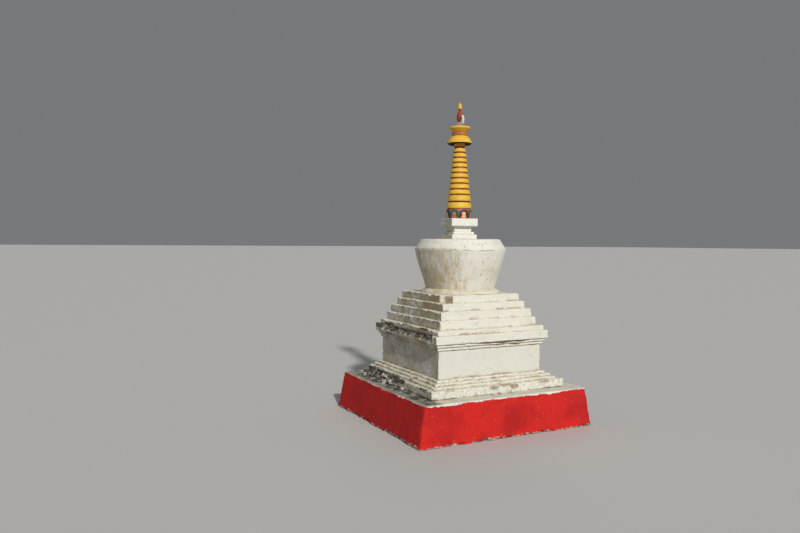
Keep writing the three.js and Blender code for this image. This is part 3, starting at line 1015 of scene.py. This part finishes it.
def spinProfile(name, outline, steps, rounding):
    clearSelection()
    bpy.ops.mesh.primitive_plane_add(size=0.001, location=(0, 0, 0))
    piece = bpy.context.active_object
    piece.name = name
    bpy.ops.object.mode_set(mode="EDIT")
    bpy.ops.mesh.select_mode(type="VERT")
    bpy.ops.mesh.select_all(action="SELECT")
    bpy.ops.mesh.merge(type="CENTER")
    bpy.ops.transform.translate(value=(outline[0][0], 0, outline[0][1]))
    for before, after in zip(outline, outline[1:]):
        step = (after[0] - before[0], 0, after[1] - before[1])
        bpy.ops.mesh.extrude_vertices_move(TRANSFORM_OT_translate={"value": step})
    leaveEdit()
    if rounding:
        pickPoints(piece, lambda co: co.x > near)
        bpy.ops.mesh.bevel(offset=rounding, segments=3, affect="VERTICES")
        leaveEdit()
    makeActive(piece)
    bpy.ops.object.mode_set(mode="EDIT")
    bpy.ops.mesh.select_all(action="SELECT")
    bpy.ops.mesh.spin(steps=steps, angle=math.tau, center=(0, 0, 0), axis=(0, 0, 1))
    bpy.ops.mesh.select_all(action="SELECT")
    bpy.ops.mesh.remove_doubles(threshold=0.0002)
    bpy.ops.mesh.normals_make_consistent(inside=False)
    leaveEdit()
    return piece


# the node's own radius and height, because bowl and spire stand off the middle
def nodeSize(node):
    low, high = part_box(node)
    return (high.x - low.x) / 2, high.z - low.z


def scaleOutline(outline, radius, height):
    return [(radius * across, height * up) for across, up in outline]


def standOnAxis(piece, node):
    low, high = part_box(node)
    piece.location = ((low.x + high.x) / 2, (low.y + high.y) / 2, 0)
    applyPlace(piece)


turnedSettings = {
    "steps": 96,
    "rounding": 0.0,
    "sink": 0.0,
    "voxel": 0.0,
    "waves": 0.0,
    "wavesMid": 0.65,
    "lumps": 0.0,
    "lumpsMid": 0.6,
    "share": 1.0,
}


# outline holds (radius, height above the node's foot)
def turnPiece(node, outline, changes):
    s = {**turnedSettings, **changes}
    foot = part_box(node)[0].z
    outline = [(radius, foot + height) for radius, height in outline]
    piece = spinProfile(node + "_plaster", outline, s["steps"], s["rounding"])
    if s["voxel"]:
        remesh(piece, s["voxel"])
    if s["waves"]:
        displace(piece, plasterWaves, s["waves"], s["wavesMid"])
    if s["lumps"]:
        displace(piece, plasterLumps, s["lumps"], s["lumpsMid"])
    if s["share"] < 1.0:
        thinMesh(piece, s["share"])
    return piece


def buildTurned(node, outline, material, changes):
    piece = turnPiece(node, outline, changes)
    standOnAxis(piece, node)
    low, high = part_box(node)
    keepInside(piece, low - Vector((0, 0, changes.get("sink", 0.0))), high)
    finishPiece(piece, material, [node])


footSettings = {"sink": 0.006, "rounding": 0.004, "voxel": 0.008, "waves": 0.012, "lumps": 0.012,
                "share": 0.5}
bowlSettings = {"sink": 0.02, "rounding": 0.005, "voxel": 0.0095, "waves": 0.010, "lumps": 0.0035,
                "share": 0.5}


# a low mound of plaster that slopes from the bowl out to the top terrace's edge
def buildBowlFoot():
    radius, height = nodeSize("bowl_foot")
    outline = [
        (0, -footSettings["sink"]),
        (radius - 0.002, -footSettings["sink"]),
        (radius - 0.004, height * 0.12),
        (radius - 0.016, height * 0.48),
        (radius - 0.036, height * 0.86),
        (radius - 0.052, height),
        (0, height),
    ]
    buildTurned("bowl_foot", outline, bowlWash, footSettings)


def buildBowl():
    widest, height = nodeSize("bowl")
    bottom = widest * 0.764
    top = widest * 0.857
    belly = height * 0.787
    flare = widest - bottom
    outline = [
        (0, -bowlSettings["sink"]),
        (bottom - 0.004, -bowlSettings["sink"]),
        (bottom + 0.001, height * 0.01),
        (bottom + flare * 0.15, belly * 0.17),
        (bottom + flare * 0.38, belly * 0.36),
        (bottom + flare * 0.61, belly * 0.55),
        (bottom + flare * 0.82, belly * 0.75),
        (widest - 0.003, belly * 0.95),
        (widest, belly * 1.00),
        (widest - 0.006, belly * 1.04),
        (top + 0.003, height - 0.003),
        (top - 0.006, height),
        (0, height),
    ]
    buildTurned("bowl", outline, bowlWash, bowlSettings)


buildBowlFoot()
buildBowl()


# Spire: lotus drum with petals, rings on a tapering core, umbrella, moon, sun and tip

drumSettings = {
    "outline": [(0, 0), (0.95, 0), (1, 0.40), (0.975, 0.75), (0.915, 1), (0, 1)],
    "inset": 0.003,
    "steps": 128,
    "rounding": 0.004,
    "lumps": 0.002,
}
petalSettings = {
    "count": 8,
    "archPoints": 32,
    "standOff": 0.16,
    "halfWidth": 0.0405,
    "foot": 0.003,
    "footSlack": 0.0015,
    "spring": 0.040,
    "rise": 0.038,
    "band": 0.0225,
    "relief": 0.009,
    "rounding": 0.0014,
    "firstAzimuth": -9.6,
}


# shaped on the middle of the world, and stood on the spire's axis once it has its petals
def drawDrum():
    radius, height = nodeSize("lotus_base")
    outline = scaleOutline(drumSettings["outline"], radius - drumSettings["inset"], height)
    return turnPiece("lotus_base", outline, drumSettings)


def wrapOn(piece, drum):
    wrap = piece.modifiers.new("wrap", "SHRINKWRAP")
    wrap.target = drum
    wrap.wrap_method = "PROJECT"
    wrap.use_project_x = False
    wrap.use_project_y = True
    wrap.use_positive_direction = True
    applyModifier(piece, wrap)
    thick = piece.modifiers.new("thick", "SOLIDIFY")
    thick.thickness = petalSettings["relief"]
    thick.offset = 0.0
    applyModifier(piece, thick)
    bevelEdges(piece, petalSettings["rounding"])


# one arch and its filling, in front of the drum, before they are wrapped on
def drawPetal(footZ):
    s = petalSettings
    spring = footZ + s["spring"]
    footCentre = (0, -s["standOff"], footZ)
    clearSelection()
    bpy.ops.mesh.primitive_circle_add(vertices=s["archPoints"], radius=1, fill_type="NGON",
                                      location=(0, -s["standOff"], spring), rotation=(math.pi / 2, 0, 0))
    arch = bpy.context.active_object
    arch.scale = (s["halfWidth"], s["rise"], 1)
    applyPlace(arch)
    pickPoints(arch, lambda co: co.z < spring - near)
    bpy.ops.transform.resize(value=(1, 1, 0), center_override=footCentre)
    bpy.ops.mesh.select_all(action="SELECT")
    bpy.ops.mesh.inset(thickness=s["band"])
    leaveEdit()
    # the filling is drawn down to the foot, and the bar of the band that this flattens is deleted
    innerFoot = footZ + s["band"]
    innerHalf = s["halfWidth"] - s["band"] * 0.7
    pickPoints(arch, lambda co: abs(co.z - innerFoot) < s["footSlack"] and abs(co.x) < innerHalf)
    bpy.ops.transform.resize(value=(1, 1, 0), center_override=footCentre)
    leaveEdit()
    points = arch.data.vertices
    pickFaces(arch, lambda face: all(points[index].co.z < footZ + near for index in face.vertices))
    bpy.ops.mesh.delete(type="FACE")
    leaveEdit()
    pickFaces(arch, lambda face: len(face.vertices) > 6)
    bpy.ops.mesh.separate(type="SELECTED")
    leaveEdit()
    filling = next(thing for thing in bpy.context.selected_objects if thing != arch)
    for part in (arch, filling):
        pickFaces(part, lambda face: True)
        if part == filling:
            bpy.ops.mesh.poke()
        bpy.ops.mesh.subdivide(number_cuts=2)
        leaveEdit()
    return arch, filling


def buildLotus():
    s = petalSettings
    drum = drawDrum()
    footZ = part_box("lotus_base")[0].z + s["foot"]
    bands = {"green": [], "navy": []}
    fillings = {"green": [], "navy": []}
    for number in range(s["count"]):
        arch, filling = drawPetal(footZ)
        wrapOn(arch, drum)
        wrapOn(filling, drum)
        paint = "navy" if number % 2 == 0 else "green"
        for part, group in ((arch, bands[paint]), (filling, fillings[paint])):
            part.rotation_euler.z = math.radians(s["firstAzimuth"] + number * 360 / s["count"])
            applyPlace(part)
            group.append(part)
    for name, parts, material in (
            ("petal_bands_green", bands["green"], greenPaint),
            ("petal_bands_navy", bands["navy"], navyPaint),
            ("petal_hearts_pink", fillings["green"], pinkPaint),
            ("petal_hearts_peach", fillings["navy"], peachPaint)):
        petals = joinPieces(name, parts)
        standOnAxis(petals, "lotus_base")
        paintPiece(petals, material)
    standOnAxis(drum, "lotus_base")
    keepInside(drum, *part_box("lotus_base"))
    finishPiece(drum, salmonPaint, ["lotus_base"])


# outlines in fractions of the node's own radius and height, from the foot upwards
shapedSettings = {
    "spire_core": {
        "outline": [(0, 0), (1, 0), (45 / 104, 1), (0, 1)],
        "steps": 64,
    },
    "spire_collar": {
        "outline": [(0, 0), (1, 0), (1, 1), (0, 1)],
        "steps": 64,
        "rounding": 0.004,
    },
    "umbrella_cup": {
        "outline": [(0, 0), (0.68, 0), (0.83, 0.34), (0.95, 0.58), (1, 0.70), (1, 0.90), (0.97, 1), (0, 1)],
        "steps": 128,
        "rounding": 0.002,
        "lumps": 0.002,
    },
    "sun_oval": {
        "outline": [(0, 0), (0.34, 0.015), (0.66, 0.12), (0.90, 0.28), (1, 0.48), (0.95, 0.66), (0.74, 0.85),
                    (0.42, 0.97), (0, 1)],
        "steps": 48,
        "rounding": 0.004,
        "lumps": 0.002,
    },
    "finial_tip": {
        "outline": [(0, 0), (0.46, 0), (0.60, 0.06), (0.90, 0.16), (1, 0.32), (0.94, 0.52), (0.72, 0.70),
                    (0.42, 0.84), (0.24, 0.91), (0.20, 0.96), (0, 1)],
        "steps": 48,
        "rounding": 0.002,
        "lumps": 0.001,
    },
}


def buildShaped(node, material):
    s = shapedSettings[node]
    buildTurned(node, scaleOutline(s["outline"], *nodeSize(node)), material, s)


ringSettings = {"depth": 0.016, "rounding": 0.0025, "lumps": 0.003}


# each ring flares from a soft top edge to a sharper lower edge
def buildRing(number):
    node = "spire_ring_%02d" % number
    bulge, height = nodeSize(node)
    inner = bulge - ringSettings["depth"]
    outline = [
        (inner, 0),
        (bulge - 0.0015, 0),
        (bulge, height * 0.25),
        (bulge - 0.002, height * 0.58),
        (bulge - 0.006, height * 0.86),
        (bulge - 0.011, height),
        (inner - 0.003, height),
        (inner, 0),
    ]
    buildTurned(node, outline, yellowPaint, ringSettings)


bellSettings = {
    "wall": 0.014,
    "hollowHeight": 0.034,
    "neckShare": 0.586,
    "steps": 128,
    "rounding": 0.002,
    "lumps": 0.002,
}


def buildBell():
    s = bellSettings
    rim, height = nodeSize("umbrella_bell")
    hollow = rim - s["wall"]
    neck = rim * s["neckShare"]
    outline = [
        (0, s["hollowHeight"]),
        (neck, s["hollowHeight"]),
        (hollow, 0.007),
        (hollow + 0.002, 0),
        (rim - 0.018, 0),
        (rim, 0.011),
        (rim * 0.94, height * 0.32),
        (rim * 0.80, height * 0.68),
        (rim * 0.68, height * 0.88),
        (neck, height),
        (0, height),
    ]
    buildTurned("umbrella_bell", outline, bellPaint, s)


def buildUmbrellaCollar():
    radius, height = nodeSize("umbrella_collar")
    # two soft beads, one over the other
    outline = [
        (0, 0),
        (radius - 0.005, 0),
        (radius, height * 0.18),
        (radius - 0.001, height * 0.40),
        (radius - 0.006, height * 0.50),
        (radius - 0.002, height * 0.62),
        (radius - 0.001, height * 0.84),
        (radius - 0.007, height),
        (0, height),
    ]
    buildTurned("umbrella_collar", outline, collarPaint, {"rounding": 0.002, "lumps": 0.002})


moonSettings = {
    "radius": 0.062,
    "hollowRadius": 0.044,
    "hollowRise": 0.030,
    "hollowDepth": 0.2,
    "seat": 0.036,
    "thickness": 0.021,
    "rounding": 0.004,
    "voxel": 0.0024,
    "lumps": 0.0025,
    "share": 0.5,
    "discPoints": 96,
}


def addDisc(radius, depth, height):
    clearSelection()
    bpy.ops.mesh.primitive_cylinder_add(vertices=moonSettings["discPoints"], radius=radius, depth=depth,
                                        location=(0, 0, height), rotation=(0, math.pi / 2, 0))
    disc = bpy.context.active_object
    applyPlace(disc)
    return disc


# the moon is a thick disc with the sun's hollow cut out of it
def buildMoon():
    s = moonSettings
    low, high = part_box("crescent_moon")
    centre = low.z + math.sqrt(s["radius"] ** 2 - (s["seat"] / 2) ** 2)
    moon = addDisc(s["radius"], s["thickness"], centre)
    moon.name = "crescent_moon_plaster"
    subtract(moon, addDisc(s["hollowRadius"], s["hollowDepth"], centre + s["hollowRise"]))
    bevelEdges(moon, s["rounding"], 3)
    remesh(moon, s["voxel"])
    displace(moon, plasterLumps, s["lumps"], turnedSettings["lumpsMid"])
    thinMesh(moon, s["share"])
    standOnAxis(moon, "crescent_moon")
    keepInside(moon, low, high)
    finishPiece(moon, whitePaint, ["crescent_moon"])


buildLotus()
buildShaped("spire_core", groovePaint)
for number in range(1, 12):
    buildRing(number)
buildShaped("spire_collar", spireCollarLitAndShadedPaint)
buildBell()
buildUmbrellaCollar()
buildShaped("umbrella_cup", cupPaint)
buildMoon()
buildShaped("sun_oval", sunPaint)
buildShaped("finial_tip", yellowPaint)


# Floor, light and camera

studioSettings = {
    "floorSize": 600,
    "floorColour": rgb(0.56, 0.555, 0.54),
    "skyColour": rgb(0.94, 0.97, 1.0),
    "skyStrength": 0.195,
    "lampDistance": 8,
    "key": {"azimuth": -9.0, "elevation": 32.0, "strength": 2.85, "angle": 3.0, "colour": (1.0, 0.98, 0.94)},
    "fill": {"azimuth": 150.0, "elevation": 42.0, "strength": 0.25, "angle": 35.0,
             "colour": (0.95, 0.97, 1.0)},
}


def addSun(name, light):
    azimuth = math.radians(light["azimuth"])
    elevation = math.radians(light["elevation"])
    towards = Vector((math.sin(azimuth) * math.cos(elevation), -math.cos(azimuth) * math.cos(elevation),
                      math.sin(elevation)))
    bpy.ops.object.light_add(type="SUN", location=towards * studioSettings["lampDistance"])
    lamp = bpy.context.active_object
    lamp.name = name
    lamp.rotation_euler = towards.to_track_quat("Z", "Y").to_euler()
    lamp.data.energy = light["strength"]
    lamp.data.angle = math.radians(light["angle"])
    lamp.data.color = light["colour"]


def buildStudio():
    s = studioSettings
    clearSelection()
    bpy.ops.mesh.primitive_plane_add(size=s["floorSize"], location=(0, 0, 0))
    floor = bpy.context.active_object
    floor.name = "floor"
    material, _, shader = newMaterial("floorPaper", 0.9, 0.1)
    shader.inputs["Base Color"].default_value = s["floorColour"]
    floor.data.materials.append(material)
    world = bpy.data.worlds.new("studio")
    world.use_nodes = True
    world.node_tree.nodes["Background"].inputs[0].default_value = s["skyColour"]
    world.node_tree.nodes["Background"].inputs[1].default_value = s["skyStrength"]
    bpy.context.scene.world = world
    addSun("keyLight", s["key"])
    addSun("fillLight", s["fill"])
    bpy.context.scene.view_settings.view_transform = "Standard"


cameraSettings = {
    "distance": 6.36,
    "azimuth": 32.13,
    "eyeHeight": 1.592,
    "yaw": 27.19,
    "pitch": -1.95,
    "roll": 0.37,
    "focalPixels": 688.0,
    "framePixels": 800.0,
    "sensor": 36.0,
}


def buildCamera():
    s = cameraSettings
    azimuth = math.radians(s["azimuth"])
    place = (-s["distance"] * math.sin(azimuth), -s["distance"] * math.cos(azimuth), s["eyeHeight"])
    bpy.ops.object.camera_add(location=place)
    camera = bpy.context.active_object
    camera.name = "camera"
    camera.data.sensor_width = s["sensor"]
    camera.data.lens = s["focalPixels"] / s["framePixels"] * s["sensor"]
    yaw = math.radians(s["yaw"])
    pitch = math.radians(s["pitch"])
    forward = Vector((math.sin(yaw) * math.cos(pitch), math.cos(yaw) * math.cos(pitch), math.sin(pitch)))
    camera.rotation_euler = forward.to_track_quat("-Z", "Y").to_euler()
    camera.rotation_euler.rotate_axis("Z", math.radians(s["roll"]))
    bpy.context.scene.camera = camera


buildStudio()
buildCamera()
print("floor, light and camera ready")
bpy.context.view_layer.update()
